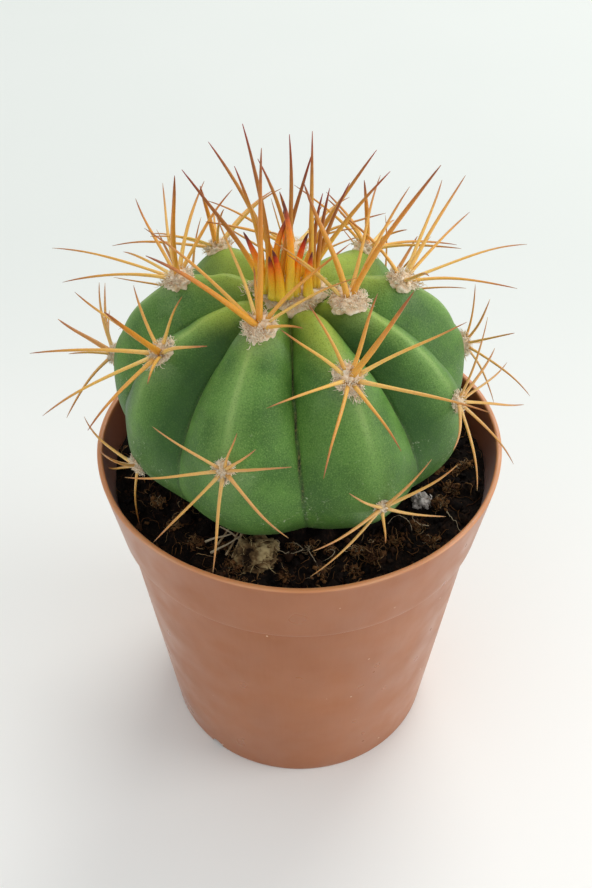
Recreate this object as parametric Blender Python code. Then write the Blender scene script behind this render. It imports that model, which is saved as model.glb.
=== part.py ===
"""A round ribbed cactus in a small nursery pot. Metres, +Z up, origin at the centre of the pot's underside.

The front is -Y. The stem has nine ribs, named by number from the left front, anticlockwise seen from above.
Each rib carries two areoles, woolly cushions that hold a cluster of spines, and the crown carries one more.
"""

import math

import bmesh
import bpy
import numpy as np
from mathutils import Vector, noise

MM = 0.001
GAP = 0.35 * MM  # between pieces that touch

# Pot: a thin moulded cone with a wider collar.
POT_HEIGHT = 51.0 * MM
POT_RIM_RADIUS = 27.5 * MM
POT_COLLAR_HEIGHT = 11.2 * MM
POT_COLLAR_RADIUS = 25.6 * MM
POT_SHOULDER_RADIUS = 24.9 * MM
POT_BASE_RADIUS = 20.1 * MM
POT_WALL = 0.75 * MM
POT_FLOOR = 1.2 * MM
POT_EDGE = 0.3 * MM
POT_SEGMENTS = 64
DRAIN_RADIUS = 1.75 * MM
DRAIN_CIRCLE = 11.0 * MM
DRAIN_COUNT = 4
NOTCH_RADIUS = 1.1 * MM
NOTCH_AZIMUTHS = (-129, 51)

# Soil: fills the pot to a few millimetres below the rim.
SOIL_LEVEL = 46.0 * MM
SOIL_ROUGHNESS = 0.9 * MM
SOIL_GRAIN = 3.2 * MM
SOIL_SEGMENTS = 48
SOIL_RINGS = 14

# Stem: crest and groove are two profiles about its centre, and a rib's sides run from one to the other.
STEM_AXIS = (-1.3 * MM, 0.5 * MM)
STEM_CENTRE_Z = 59.0 * MM
CREST_RADIUS = 23.5 * MM
CREST_RISE = 17.5 * MM
CREST_POWER = 2.3
GROOVE_RADIUS = 20.0 * MM
GROOVE_RISE = 14.8 * MM
GROOVE_POWER = 2.0
GROOVE_LOW_RADIUS = 21.7 * MM
GROOVE_FADE = (35, -5)  # the tilts between which the groove comes out to its low radius
STEM_DROP = 12.8 * MM
DROP_POWER = 2.1
CROWN_RADIUS = 9.0 * MM
CREST_ROUNDING_TOP = 0.10
CREST_ROUNDING_LOW = 0.28
RIB_LEAN = 3.5
NECK_RADIUS = 5.0 * MM
NECK_BOTTOM = 38.0 * MM
NECK_TOP = 46.3 * MM
STEM_SEGMENTS = 81
STEM_TILTS = (-76, -68, -58, -48, -37, -27, -18, -9, 0, 8, 16, 24, 32, 40, 47, 54, 61, 67, 73, 78, 82, 86)
# Rib number: azimuth in degrees, size against the full crest, and how full its two sides are, 1 for flat.
RIBS = {
    1: (-152, 0.955, 1.3, 1.0),
    2: (-110, 1.0, 2.4, 1.9),
    3: (-65, 1.0, 1.7, 1.9),
    4: (-26, 0.985, 1.0, 1.4),
    5: (12, 1.0, 1.2, 1.4),
    6: (53, 0.96, 1.4, 1.4),
    7: (89, 0.9, 1.4, 1.4),
    8: (126, 0.96, 1.4, 1.4),
    9: (168, 1.0, 1.4, 1.2),
}

# Areoles and spines.
PADS = {"upper": (1.8 * MM, 1.5 * MM), "lower": (1.2 * MM, 1.1 * MM)}  # radius and height
CROWN_PAD_RADIUS = 4.2 * MM
CROWN_PAD_HEIGHT = 2.0 * MM
CROWN_PAD_RISE = 1.2 * MM
RADIAL_THICKNESS = 0.62 * MM
CENTRAL_THICKNESS = 0.95 * MM
YOUNG_THICKNESS = 1.5 * MM
CENTRAL_LEAN = 40
CENTRAL_FOOT = 0.15  # how far from the pad's middle a spine starts, against the pad's radius
RADIAL_FOOT = 0.5
BOW = 0.05
SPINE_SIDES = 4
SPINE_RINGS = 3
# Each spine is (clock, lean, length): clock in degrees from the crown's side, clockwise seen from outside,
# lean in degrees away from straight out, and length in millimetres.
ANY_UPPER = ((15, 66, 12), (65, 68, 13), (115, 67, 14), (165, 66, 13), (215, 68, 14), (265, 67, 13),
             (315, 66, 12), (20, 30, 10))
ANY_LOWER = ((20, 62, 11), (70, 66, 12), (120, 68, 12), (175, 68, 12), (230, 68, 12), (285, 66, 12),
             (335, 62, 11), (0, 25, 10))
AREOLES = {
    "areole_1_upper": (1, 43, ((291, 70, 10), (0, 62, 8), (62, 66, 13.5), (76, 25, 18), (260, 67, 15),
                               (223, 65, 17), (187, 67, 16), (155, 66, 13.5), (105, 55, 10))),
    "areole_1_lower": (1, -12, ((281, 78, 12), (252, 73, 12), (240, 71, 12), (176, 60, 9.5), (30, 72, 9))),
    "areole_2_upper": (2, 69, ((336, 70, 8), (351, 31, 21), (288, 65, 18), (237, 33, 19), (320, 67, 15.5),
                               (35, 68, 14.5), (57, 67, 13), (102, 58, 7.5))),
    "areole_2_lower": (2, 17, ((24, 59, 8.5), (45, 57, 9), (67, 64, 11.5), (117, 66, 11.5), (178, 68, 12),
                               (219, 68, 12), (264, 68, 11.5), (308, 66, 10))),
    "areole_3_upper": (3, 49, ((264, 67, 13), (221, 69, 15), (177, 66, 11.5), (131, 68, 16.5), (87, 67, 15),
                               (56, 26, 15), (38, 68, 10.5), (345, 66, 10), (316, 66, 10.5))),
    "areole_3_lower": (3, -1, ((325, 76, 9), (280, 72, 11.5), (263, 70, 12.5), (190, 60, 5), (118, 72, 9),
                               (62, 74, 10.5), (42, 77, 9))),
    "areole_4_upper": (4, 73, ((290, 22, 21), (78, 62, 18), (89, 69, 12), (94, 60, 17), (131, 33, 19.5),
                               (315, 42, 14), (335, 48, 10))),
    "areole_4_lower": (4, 17, ((20, 62, 12), (78, 70, 9), (100, 71, 10.5), (132, 70, 13), (173, 69, 12.5),
                               (250, 65, 13), (285, 69, 13.5))),
    "areole_5_upper": (5, 56, ((113, 59, 17.5), (122, 48, 17.5), (134, 62, 16), (168, 61, 18),
                               (195, 67, 14.5), (290, 56, 13), (20, 66, 12))),
    "areole_5_lower": (5, 8, ((314, 70, 12.5), (139, 63, 12), (270, 67, 13), (350, 66, 9), (20, 68, 8.5),
                              (190, 70, 12))),
    "areole_6_upper": (6, 46, ANY_UPPER),
    "areole_6_lower": (6, 6, ANY_LOWER),
    "areole_7_upper": (7, 62, ANY_UPPER),
    "areole_7_lower": (7, 14, ANY_LOWER),
    "areole_8_upper": (8, 46, ANY_UPPER),
    "areole_8_lower": (8, 6, ANY_LOWER),
    "areole_9_upper": (9, 56, ((190, 62, 18), (172, 68, 15), (214, 71, 11), (241, 63, 16), (20, 32, 17),
                               (258, 62, 16), (282, 66, 15), (308, 67, 13.5))),
    "areole_9_lower": (9, 6, ((300, 66, 11), (265, 68, 12), (235, 66, 12.5), (320, 64, 10), (60, 66, 10),
                              (120, 68, 11), (0, 25, 9))),
}
# The crown's spines: azimuth of the foot, its distance from the axis, azimuth leaned to, lean, length.
CROWN_SPINES = (
    (210, 3.3, 165, 6, 21.8), (140, 1.0, 155, 30, 19.0), (280, 1.2, 100, 3, 20.0), (350, 2.6, 90, 3, 20.0),
    (235, 2.0, 30, 14, 18.0), (0, 1.0, 155, 18, 16.5), (190, 3.4, 160, 11, 16.0), (35, 1.5, 30, 35, 18.0),
    (0, 1.5, 25, 42, 17.0), (350, 2.7, 35, 23, 13.5), (345, 3.0, 45, 6, 12.5), (350, 3.4, 60, 12, 12.5),
    (180, 3.4, 150, 41, 16.5),
)
CROWN_YOUNG = (
    (265, 2.5, 180, 2, 13.0), (205, 3.3, 180, 16, 8.5), (212, 2.2, 0, 10, 10.5), (290, 2.0, 0, 10, 8.5),
    (250, 3.2, 230, 10, 7.5), (235, 3.4, 250, 10, 6.5), (315, 3.2, 10, 4, 6.0), (100, 1.5, 100, 14, 9.0),
)

# Loose bits on the soil: centre (x, y), radius across and height.
PEAT_LUMP = (-5.7 * MM, -17.6 * MM, 2.7 * MM, 2.6 * MM)
PERLITE_GRAIN = (16.4 * MM, -7.2 * MM, 1.4 * MM, 1.7 * MM)
PEAT_LUMPINESS = 0.35
PERLITE_LUMPINESS = 0.25
SEAT_SPREAD = 1.5  # the flat seat under a loose bit, against the bit's radius


def clear_scene():
    for thing in list(bpy.data.objects):
        bpy.data.objects.remove(thing)


def material(name, colour, roughness):
    made = bpy.data.materials.new(name)
    made.use_nodes = True
    shader = made.node_tree.nodes["Principled BSDF"]
    shader.inputs["Base Color"].default_value = (*colour, 1)
    shader.inputs["Roughness"].default_value = roughness
    shader.inputs["Metallic"].default_value = 0
    return made


def add_object(name, bm, finish=None):
    """Turns a bmesh into a named object with its material, shaded smooth."""
    bmesh.ops.recalc_face_normals(bm, faces=bm.faces)
    mesh = bpy.data.meshes.new(name)
    bm.to_mesh(mesh)
    bm.free()
    if finish:
        mesh.materials.append(finish)
    mesh.shade_smooth()
    mesh.set_sharp_from_angle(angle=math.radians(35))
    made = bpy.data.objects.new(name, mesh)
    bpy.context.scene.collection.objects.link(made)
    return made


def boolean(target, other, operation):
    """Adds an exact Boolean with a helper object, which stays out of the model."""
    other.hide_render = True
    other.display_type = "WIRE"
    modifier = target.modifiers.new(other.name, "BOOLEAN")
    modifier.operation = operation
    modifier.solver = "EXACT"
    modifier.object = other


def skin_rings(bm, rings, closed_ends=True):
    """Joins rings of equal length with quads, and closes both ends with a fan about the ring's middle."""
    rows = [[bm.verts.new(point) for point in ring] for ring in rings]
    for low, high in zip(rows, rows[1:]):
        for i in range(len(low)):
            j = (i + 1) % len(low)
            bm.faces.new((low[i], low[j], high[j], high[i]))
    if closed_ends:
        for row in (rows[0], rows[-1]):
            middle = bm.verts.new(sum((v.co for v in row), Vector()) / len(row))
            for i in range(len(row)):
                bm.faces.new((row[i], row[(i + 1) % len(row)], middle))
    return rows


def turn_angles(segments):
    return np.linspace(-math.pi, math.pi, segments, endpoint=False)


def circle(radius, z, segments, centre=(0, 0)):
    angles = turn_angles(segments)
    return [(centre[0] + radius * math.cos(a), centre[1] + radius * math.sin(a), z) for a in angles]


# Pot

def inner_wall(z):
    """The pot's inner radius at height z."""
    collar_z = POT_HEIGHT - POT_COLLAR_HEIGHT
    heights = (0, collar_z - POT_WALL, collar_z + POT_WALL, POT_HEIGHT)
    radii = (POT_BASE_RADIUS, POT_SHOULDER_RADIUS, POT_COLLAR_RADIUS, POT_RIM_RADIUS)
    return float(np.interp(z, heights, radii)) - POT_WALL


def make_pot(finish):
    collar_z = POT_HEIGHT - POT_COLLAR_HEIGHT
    outside = [
        (POT_BASE_RADIUS - POT_EDGE, 0),
        (POT_BASE_RADIUS, POT_EDGE),
        (POT_SHOULDER_RADIUS, collar_z - POT_EDGE),
        (POT_COLLAR_RADIUS, collar_z),
        (POT_RIM_RADIUS, POT_HEIGHT - POT_EDGE),
        (POT_RIM_RADIUS - POT_EDGE, POT_HEIGHT),
    ]
    inside_heights = (POT_HEIGHT - POT_EDGE, collar_z + POT_WALL, collar_z - POT_WALL, POT_FLOOR)
    inside = [(inner_wall(z), z) for z in inside_heights]
    bm = bmesh.new()
    skin_rings(bm, [circle(r, z, POT_SEGMENTS) for r, z in outside + inside])
    pot = add_object("pot", bm, finish)

    for number in range(DRAIN_COUNT):
        angle = math.tau * (number + 0.5) / DRAIN_COUNT
        centre = (DRAIN_CIRCLE * math.cos(angle), DRAIN_CIRCLE * math.sin(angle))
        bm = bmesh.new()
        skin_rings(bm, [circle(DRAIN_RADIUS, z, 16, centre) for z in (-POT_FLOOR, 2 * POT_FLOOR)])
        boolean(pot, add_object(f"drain_cutter_{number}", bm), "DIFFERENCE")
    for degrees in NOTCH_AZIMUTHS:
        out = Vector((math.cos(math.radians(degrees)), math.sin(math.radians(degrees)), 0))
        across = Vector((-out.y, out.x, 0))
        bm = bmesh.new()
        rings = []
        for reach in (POT_BASE_RADIUS - 3 * POT_WALL, POT_BASE_RADIUS + 2 * POT_WALL):
            ring = circle(NOTCH_RADIUS, 0, 16)
            rings.append([out * reach + across * x + Vector((0, 0, y)) for x, y, _ in ring])
        skin_rings(bm, rings)
        boolean(pot, add_object(f"notch_cutter_{degrees}", bm), "DIFFERENCE")
    return pot


# Stem

def signed_power(value, power):
    return np.sign(value) * np.abs(value) ** power


def profile(tilt, radius, rise, power):
    """(distance from the stem's axis, height over its centre) at a tilt, 0 where widest and 90 on top."""
    above = np.sin(tilt) > 0
    across = np.abs(np.cos(tilt)) ** (2 / np.where(above, power, DROP_POWER))
    height = signed_power(np.sin(tilt), 2 / np.where(above, power, DROP_POWER))
    return radius * across, height * np.where(above, rise, STEM_DROP)


def rib_phase(azimuth):
    """Each azimuth's place across its rib, the rib's size, and the fullness of the side it is on.

    The place is 0 on the crest and -1 and 1 in the grooves beside it.
    """
    crests = np.radians([angle for angle, *_ in RIBS.values()])
    _, sizes, before_full, after_full = np.array(list(RIBS.values())).T
    ring = np.concatenate(([crests[-1] - math.tau], crests, [crests[0] + math.tau]))
    grooves = (ring[1:] + ring[:-1]) / 2
    turned = (azimuth - grooves[0]) % math.tau + grooves[0]
    rib = np.clip(np.searchsorted(grooves, turned, side="right") - 1, 0, len(crests) - 1)
    after = (turned - crests[rib]) / (grooves[rib + 1] - crests[rib])
    before = (turned - crests[rib]) / (crests[rib] - grooves[rib])
    later = turned > crests[rib]
    phase = np.where(later, after, before)
    return phase, sizes[rib], np.where(later, after_full[rib], before_full[rib])


def rib_lean(tilt):
    """How far a rib's crest has turned about the axis at this tilt, because the ribs run a little askew."""
    return math.radians(RIB_LEAN) * (0.65 - np.sin(tilt))


def stem_point(azimuth, tilt):
    """The stem's surface, as an array of (x, y, z)."""
    azimuth, tilt = np.broadcast_arrays(np.asarray(azimuth, float), np.asarray(tilt, float))
    phase, size, full = rib_phase(azimuth - rib_lean(tilt))
    fade_start, fade_end = np.radians(GROOVE_FADE)
    low = np.clip((tilt - fade_start) / (fade_end - fade_start), 0, 1)
    low = low * low * (3 - 2 * low)
    rounding = CREST_ROUNDING_TOP + (CREST_ROUNDING_LOW - CREST_ROUNDING_TOP) * low
    groove = (np.sqrt(phase**2 + rounding**2) - rounding) / (np.sqrt(1 + rounding**2) - rounding)
    groove = groove ** (full + (1 - full) * low)
    crest_r, crest_z = profile(tilt, CREST_RADIUS, CREST_RISE, CREST_POWER)
    groove_radius = GROOVE_RADIUS + (GROOVE_LOW_RADIUS - GROOVE_RADIUS) * low
    groove_r, groove_z = profile(tilt, groove_radius, GROOVE_RISE, GROOVE_POWER)
    near_axis = np.clip(1 - (crest_r / CROWN_RADIUS) ** 2, 0, 1) ** 2 * (np.sin(tilt) > 0)
    crest_z = crest_z - (CREST_RISE - GROOVE_RISE) * near_axis
    size = 1 + (size - 1) * np.clip(crest_r / CROWN_RADIUS, 0, 1)
    r = crest_r * size * (1 - groove) + groove_r * groove
    z = crest_z * size * (1 - groove) + groove_z * groove
    x = STEM_AXIS[0] + r * np.cos(azimuth)
    y = STEM_AXIS[1] + r * np.sin(azimuth)
    return np.stack([x, y, STEM_CENTRE_Z + z], axis=-1)


def make_stem(finish):
    taper_top = NECK_BOTTOM + 0.3 * NECK_RADIUS
    neck = ((0.6 * NECK_RADIUS, NECK_BOTTOM), (NECK_RADIUS, taper_top), (NECK_RADIUS, NECK_TOP))
    rings = [circle(r, z, STEM_SEGMENTS, STEM_AXIS) for r, z in neck]
    for tilt in STEM_TILTS:
        rings.append(stem_point(turn_angles(STEM_SEGMENTS), math.radians(tilt)))
    bm = bmesh.new()
    skin_rings(bm, rings)
    return add_object("stem", bm, finish)


# Soil

def stem_underside(azimuth, radius):
    """The height of the stem's underside at this distance from its axis, or a large height outside it."""
    tilts = np.radians(np.linspace(-88, 0, 45))
    points = stem_point(azimuth, tilts)
    reach = np.hypot(points[:, 0] - STEM_AXIS[0], points[:, 1] - STEM_AXIS[1])
    if radius > reach.max():
        return POT_HEIGHT
    return float(np.interp(radius, reach, points[:, 2]))


def soil_height(x, y):
    """The soil's rough top, with a flat seat under each loose bit, kept under the stem."""
    z = SOIL_LEVEL + SOIL_ROUGHNESS * noise.noise(Vector((x, y, 0)) / SOIL_GRAIN)
    for seat_x, seat_y, radius, _ in (PEAT_LUMP, PERLITE_GRAIN):
        away = math.hypot(x - seat_x, y - seat_y) / radius
        z = SOIL_LEVEL if away < SEAT_SPREAD else z
    dx, dy = x - STEM_AXIS[0], y - STEM_AXIS[1]
    return min(z, stem_underside(math.atan2(dy, dx), math.hypot(dx, dy)) - GAP)


def make_soil(finish):
    collar_z = POT_HEIGHT - POT_COLLAR_HEIGHT
    walls = [(inner_wall(z) - GAP, z) for z in
             (POT_FLOOR + GAP, collar_z - POT_WALL - GAP, collar_z + POT_WALL, SOIL_LEVEL)]
    rings = [circle(r, z, SOIL_SEGMENTS) for r, z in walls[:-1]]
    rim_radius = walls[-1][0]
    hole = NECK_RADIUS + GAP
    for step in np.linspace(0, 1, SOIL_RINGS):
        radius = rim_radius + (hole - rim_radius) * step
        centre = (STEM_AXIS[0] * step, STEM_AXIS[1] * step)
        ring = circle(radius, 0, SOIL_SEGMENTS, centre)
        rings.append([(x, y, soil_height(x, y)) for x, y, _ in ring])
    rings.append(circle(hole, NECK_BOTTOM - GAP, SOIL_SEGMENTS, STEM_AXIS))
    bm = bmesh.new()
    skin_rings(bm, rings)
    return add_object("soil", bm, finish)


def make_loose_bit(name, place, lumpiness, finish):
    """A small lump with a flat underside, resting on its seat in the soil."""
    x, y, radius, height = place
    bm = bmesh.new()
    bmesh.ops.create_icosphere(bm, subdivisions=2, radius=1)
    for vert in bm.verts:
        swell = 1 + lumpiness * noise.noise(vert.co * 1.7 + Vector((x, y, 0)) / MM)
        flat = max(vert.co.z * swell, -0.5)
        across = vert.co.xy * (swell * radius)
        vert.co = Vector((x + across.x, y + across.y, SOIL_LEVEL + GAP + (flat + 0.5) * height / 1.5))
    return add_object(name, bm, finish)


# Areoles and spines

def dome(bm, foot, up, ahead, radius, height):
    """A flat-bottomed cushion on foot, up along its normal and slightly longer along ahead."""
    side = ahead.cross(up)
    rings = []
    for turn in (0, 25, 50, 72):
        r, z = radius * math.cos(math.radians(turn)), height * math.sin(math.radians(turn))
        rings.append([foot + up * z + ahead * (1.15 * r * math.cos(a)) + side * (r * math.sin(a))
                      for a in np.linspace(0, math.tau, 10, endpoint=False)])
    skin_rings(bm, rings)


def spine(foot, tip, lift, thickness, name):
    """A tapered spine from foot to tip that bows towards lift."""
    length = (tip - foot).length
    control = (foot + tip) / 2 + lift * (BOW * 2 * length)
    along = (tip - foot).normalized()
    side = along.cross(lift if abs(along.dot(lift)) < 0.95 else Vector((1, 0, 0))).normalized()
    other = along.cross(side)
    bm = bmesh.new()
    rings = []
    for step in range(SPINE_RINGS):
        s = step / SPINE_RINGS
        middle = foot * (1 - s) ** 2 + control * (2 * s * (1 - s)) + tip * s**2
        half = thickness / 2 * (1 - s) ** 0.7
        rings.append([middle + side * (half * math.cos(a)) + other * (half * math.sin(a))
                      for a in np.linspace(0, math.tau, SPINE_SIDES, endpoint=False)])
    rows = skin_rings(bm, rings, closed_ends=False)
    point = bm.verts.new(tip)
    for i in range(SPINE_SIDES):
        bm.faces.new((rows[-1][i], rows[-1][(i + 1) % SPINE_SIDES], point))
    bm.faces.new(rows[0])
    return add_object(name, bm)


def areole_frame(rib, tilt_degrees):
    """(foot on the crest, outward normal, direction towards the crown) of an areole."""
    tilt = math.radians(tilt_degrees)
    azimuth = math.radians(RIBS[rib][0])
    here, before, after = (
        Vector(stem_point(azimuth + rib_lean(t), t)) for t in (tilt, tilt - 0.01, tilt + 0.01)
    )
    ahead = (after - before).normalized()
    turned = azimuth + float(rib_lean(tilt))
    side = Vector((-math.sin(turned), math.cos(turned), 0))
    out = side.cross(ahead).normalized()
    if out.dot(Vector((math.cos(turned), math.sin(turned), 0.3))) < 0:
        out.negate()
    return here, out, ahead


def make_areole(name, rib, tilt_degrees, spines, finish):
    here, out, ahead = areole_frame(rib, tilt_degrees)
    pad_radius, pad_height = PADS[name.rsplit("_", 1)[1]]
    bm = bmesh.new()
    dome(bm, here + out * GAP, out, ahead, pad_radius, pad_height)
    areole = add_object(name, bm, finish)
    right = ahead.cross(out)
    for number, (clock, lean, length) in enumerate(spines):
        clock, lean_angle = math.radians(clock), math.radians(lean)
        flat = ahead * math.cos(clock) + right * math.sin(clock)
        direction = out * math.cos(lean_angle) + flat * math.sin(lean_angle)
        central = lean < CENTRAL_LEAN
        spread = pad_radius * (CENTRAL_FOOT if central else RADIAL_FOOT)
        foot = here + out * (GAP + 0.5 * pad_height) + flat * spread
        thickness = CENTRAL_THICKNESS if central else RADIAL_THICKNESS
        made = spine(foot, here + direction * (length * MM), out, thickness, f"{name}_spine_{number}")
        boolean(areole, made, "UNION")
    return areole


def make_crown(finish):
    axis = Vector((*STEM_AXIS, STEM_CENTRE_Z + GROOVE_RISE + CROWN_PAD_RISE))
    up, ahead = Vector((0, 0, 1)), Vector((1, 0, 0))
    bm = bmesh.new()
    dome(bm, axis, up, ahead, CROWN_PAD_RADIUS, CROWN_PAD_HEIGHT)
    crown = add_object("crown_tuft", bm, finish)
    groups = ((CROWN_SPINES, CENTRAL_THICKNESS, "tall"), (CROWN_YOUNG, YOUNG_THICKNESS, "young"))
    for spines, thickness, group in groups:
        for number, (foot_azimuth, away, azimuth, lean, length) in enumerate(spines):
            foot_azimuth, azimuth, lean = (math.radians(angle) for angle in (foot_azimuth, azimuth, lean))
            foot_side = Vector((math.cos(foot_azimuth), math.sin(foot_azimuth), 0))
            foot = axis + foot_side * (away * MM) + up * (0.4 * CROWN_PAD_HEIGHT)
            level = Vector((math.cos(azimuth), math.sin(azimuth), 0))
            direction = up * math.cos(lean) + level * math.sin(lean)
            tip = foot + direction * (length * MM)
            boolean(crown, spine(foot, tip, -level, thickness, f"crown_{group}_{number}"), "UNION")
    return crown


def main():
    clear_scene()
    make_pot(material("pot_plastic", (0.48, 0.20, 0.12), 0.55))
    make_soil(material("dark_soil", (0.03, 0.02, 0.015), 0.95))
    make_stem(material("green_skin", (0.08, 0.20, 0.05), 0.45))
    peat = material("pale_peat", (0.30, 0.25, 0.13), 0.95)
    make_loose_bit("peat_lump", PEAT_LUMP, PEAT_LUMPINESS, peat)
    perlite = material("perlite", (0.75, 0.73, 0.68), 0.9)
    make_loose_bit("perlite_grain", PERLITE_GRAIN, PERLITE_LUMPINESS, perlite)
    straw = material("straw_spines", (0.60, 0.36, 0.12), 0.5)
    for name, (rib, tilt_degrees, spines) in AREOLES.items():
        make_areole(name, rib, tilt_degrees, spines, straw)
    make_crown(material("young_spines", (0.75, 0.38, 0.08), 0.45))


main()
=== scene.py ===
"""The looks of a round ribbed cactus in its nursery pot. Metres, +Z up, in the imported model's own frame.

The stem, the areoles and the pot repeat the formulas that the solids are made by, on much finer meshes.
"""

import math

import bmesh
import bpy
import numpy as np
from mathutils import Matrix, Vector, noise


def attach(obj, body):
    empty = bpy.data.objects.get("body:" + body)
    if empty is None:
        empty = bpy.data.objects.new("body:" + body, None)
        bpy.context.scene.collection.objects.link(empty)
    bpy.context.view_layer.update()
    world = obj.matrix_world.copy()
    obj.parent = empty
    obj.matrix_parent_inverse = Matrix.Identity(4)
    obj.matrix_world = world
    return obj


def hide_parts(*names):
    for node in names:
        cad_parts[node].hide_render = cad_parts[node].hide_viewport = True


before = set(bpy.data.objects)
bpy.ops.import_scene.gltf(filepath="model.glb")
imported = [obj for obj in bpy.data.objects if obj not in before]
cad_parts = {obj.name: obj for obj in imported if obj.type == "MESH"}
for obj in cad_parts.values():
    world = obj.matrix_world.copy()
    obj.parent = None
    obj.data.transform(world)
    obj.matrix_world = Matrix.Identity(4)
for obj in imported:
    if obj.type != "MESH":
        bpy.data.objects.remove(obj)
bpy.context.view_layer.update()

MM = 0.001
UP = Vector((0, 0, 1))

# Pot
POT_HEIGHT = 51.0 * MM
POT_RIM_RADIUS = 27.5 * MM
POT_COLLAR_HEIGHT = 11.2 * MM
POT_COLLAR_RADIUS = 25.6 * MM
POT_SHOULDER_RADIUS = 24.9 * MM
POT_BASE_RADIUS = 20.1 * MM
POT_WALL = 0.75 * MM
POT_FLOOR = 1.2 * MM
POT_FOOT_WIDTH = 2.1 * MM
POT_FOOT_HEIGHT = 0.25 * MM
POT_EDGE = 0.28 * MM  # how far its corners are rounded
POT_STEP = 0.7 * MM  # the longest step of its outline
POT_SEGMENTS = 300
POT_WAVE = 0.16 * MM  # how far the thin rim is from a true circle
POT_SAG = 0.10 * MM  # how far the rim dips from its full height
CORNER_STEPS = 5
ROD_SIDES = 40
DRAIN_RADIUS = 1.75 * MM
DRAIN_CIRCLE = 11.0 * MM
DRAIN_COUNT = 4
NOTCH_RADIUS = 1.1 * MM
NOTCH_AZIMUTHS = (-129, 51)

# Soil
SOIL_LEVEL = 46.0 * MM
SOIL_SEGMENTS = 260
SOIL_RINGS = 110

# Stem
STEM_AXIS = (-1.3 * MM, 0.5 * MM)
STEM_CENTRE_Z = 59.0 * MM
CREST_RADIUS = 23.5 * MM
CREST_RISE = 17.5 * MM
CREST_POWER = 2.3
GROOVE_RADIUS = 20.0 * MM
GROOVE_RISE = 14.8 * MM
GROOVE_POWER = 2.0
GROOVE_LOW_RADIUS = 21.7 * MM
GROOVE_FADE = (35, -5)  # the tilts between which the groove rises to its low radius
STEM_DROP = 12.8 * MM
DROP_POWER = 2.1
CROWN_RADIUS = 9.0 * MM
CREST_ROUNDING_TOP = 0.10
CREST_ROUNDING_LOW = 0.28
RIB_LEAN = 3.5
# Rib number: azimuth in degrees, size against the full crest, and how full its two sides are, 1 for flat.
RIBS = {
    1: (-152, 0.955, 1.3, 1.0),
    2: (-110, 1.0, 2.4, 1.9),
    3: (-65, 1.0, 1.7, 1.9),
    4: (-26, 0.985, 1.0, 1.4),
    5: (12, 1.0, 1.2, 1.4),
    6: (53, 0.96, 1.4, 1.4),
    7: (89, 0.9, 1.4, 1.4),
    8: (126, 0.96, 1.4, 1.4),
    9: (168, 1.0, 1.4, 1.2),
}
# The front ribs, whose flatter flanks get painted shade.
FRONT_RIBS = 4  # ribs 1 to 4
# The ribs at the back, whose tops get painted light.
BACK_RIBS = (6, 7, 8)
STEM_COLUMNS = 450
STEM_ROWS = 176
STEM_TILTS = (-80, 89.6)

# Areoles and spines: each spine is (clock, lean, length in mm), as in the solids.
PADS = {"upper": (1.8 * MM, 1.5 * MM), "lower": (1.2 * MM, 1.1 * MM)}
GAP = 0.35 * MM
CROWN_PAD_HEIGHT = 2.0 * MM
CROWN_PAD_RISE = 1.2 * MM
RADIAL_THICKNESS = 0.54 * MM
CENTRAL_THICKNESS = 0.92 * MM
YOUNG_THICKNESS = 1.5 * MM
CENTRAL_LEAN = 40
CENTRAL_FOOT = 0.15  # how far from the pad's middle a spine starts, against the pad's radius
RADIAL_FOOT = 0.5
SPINE_DEPTH = 0.4  # how high in the pad it starts, against the pad's height
LOWER_THINNING = 0.85
BOW = 0.05
SPINE_SIDES = 9
SPINE_STEPS = 15
SPINE_TONES = {"central": (0.8, 1.0), "upper": (0.2, 0.8), "lower": (0.2, 0.6)}  # from pale to rich
SPINE_DRYNESS = {"upper": (0.0, 0.25), "lower": (0.45, 1.0)}
ANY_UPPER = ((15, 66, 12), (65, 68, 13), (115, 67, 14), (165, 66, 13), (215, 68, 14), (265, 67, 13),
             (315, 66, 12), (20, 30, 10))
ANY_LOWER = ((20, 62, 11), (70, 66, 12), (120, 68, 12), (175, 68, 12), (230, 68, 12), (285, 66, 12),
             (335, 62, 11), (0, 25, 10))
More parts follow.
